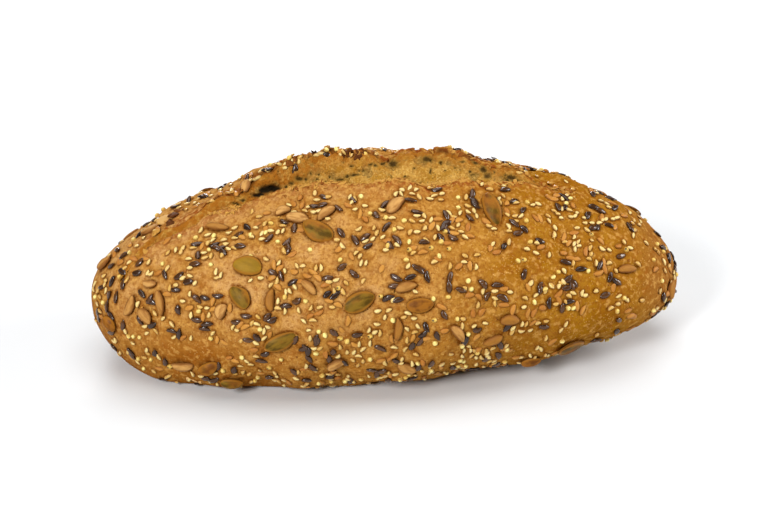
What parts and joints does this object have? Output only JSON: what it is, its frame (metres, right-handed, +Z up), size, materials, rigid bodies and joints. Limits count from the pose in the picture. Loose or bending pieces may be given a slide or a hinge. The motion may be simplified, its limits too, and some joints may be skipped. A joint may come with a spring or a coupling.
{
  "type": "seeded loaf",
  "caption": "Long baked spelt multigrain loaf with pointed ends, torn open along its crown, its crust scattered with baked-in seeds.",
  "frame": {"origin": "on the surface the loaf rests on, under the middle of its box", "axes": "+X along the loaf to its lifted end, +Y to the back, +Z up; the slash runs along X on the crown"},
  "size_m": [0.25, 0.1215, 0.0898],
  "materials": {
    "crust": "baked golden-brown crust, matte with a faint sheen",
    "crumb": "torn open crumb, matte and porous",
    "pumpkin_seed": "olive green, satin, with a toasted rim",
    "sunflower_seed": "toasted beige, matte",
    "brown_linseed": "dark purple-brown, glossy",
    "golden_linseed": "orange-brown, satin",
    "sesame": "cream-yellow, satin",
    "millet": "pale yellow, satin"
  },
  "bodies": {
    "root": {"loaf": "crust"}
  },
  "joints": []
}
